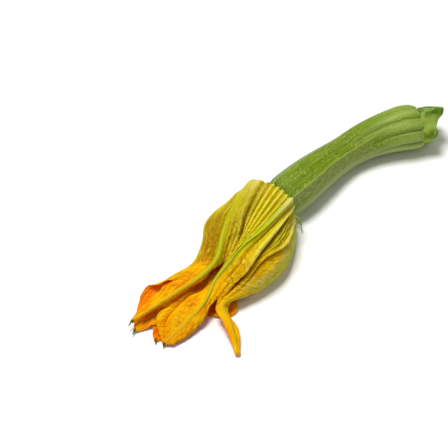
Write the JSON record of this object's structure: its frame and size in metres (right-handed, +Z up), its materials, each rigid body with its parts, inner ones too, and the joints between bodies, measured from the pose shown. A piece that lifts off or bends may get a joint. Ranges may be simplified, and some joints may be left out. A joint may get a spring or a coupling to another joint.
{
  "type": "zucchini with flower",
  "caption": "Young zucchini picked with its flower and lying on its side: a curved ribbed green fruit with a short cut stalk and a closed, pleated yellow and orange flower.",
  "frame": {"origin": "centre of the bounding box in plan, on the surface that the zucchini lies on", "axes": "+X along the fruit towards the cut stalk, -X towards the flower's mouth, +Z up from the surface"},
  "size_m": [0.2564, 0.0916, 0.0373],
  "materials": {
    "fruit_skin": "satin waxy skin, light green with pale flecks",
    "stalk_skin": "matt green skin with a pale cut end",
    "calyx_green": "matt pale green",
    "petal": "soft matt petal, yellow and orange with green midribs",
    "pistil_flesh": "matt orange yellow"
  },
  "bodies": {
    "root": {"fruit": "fruit_skin", "stalk": "stalk_skin", "calyx": "calyx_green", "corolla": "petal", "pistil": "pistil_flesh"}
  },
  "joints": []
}
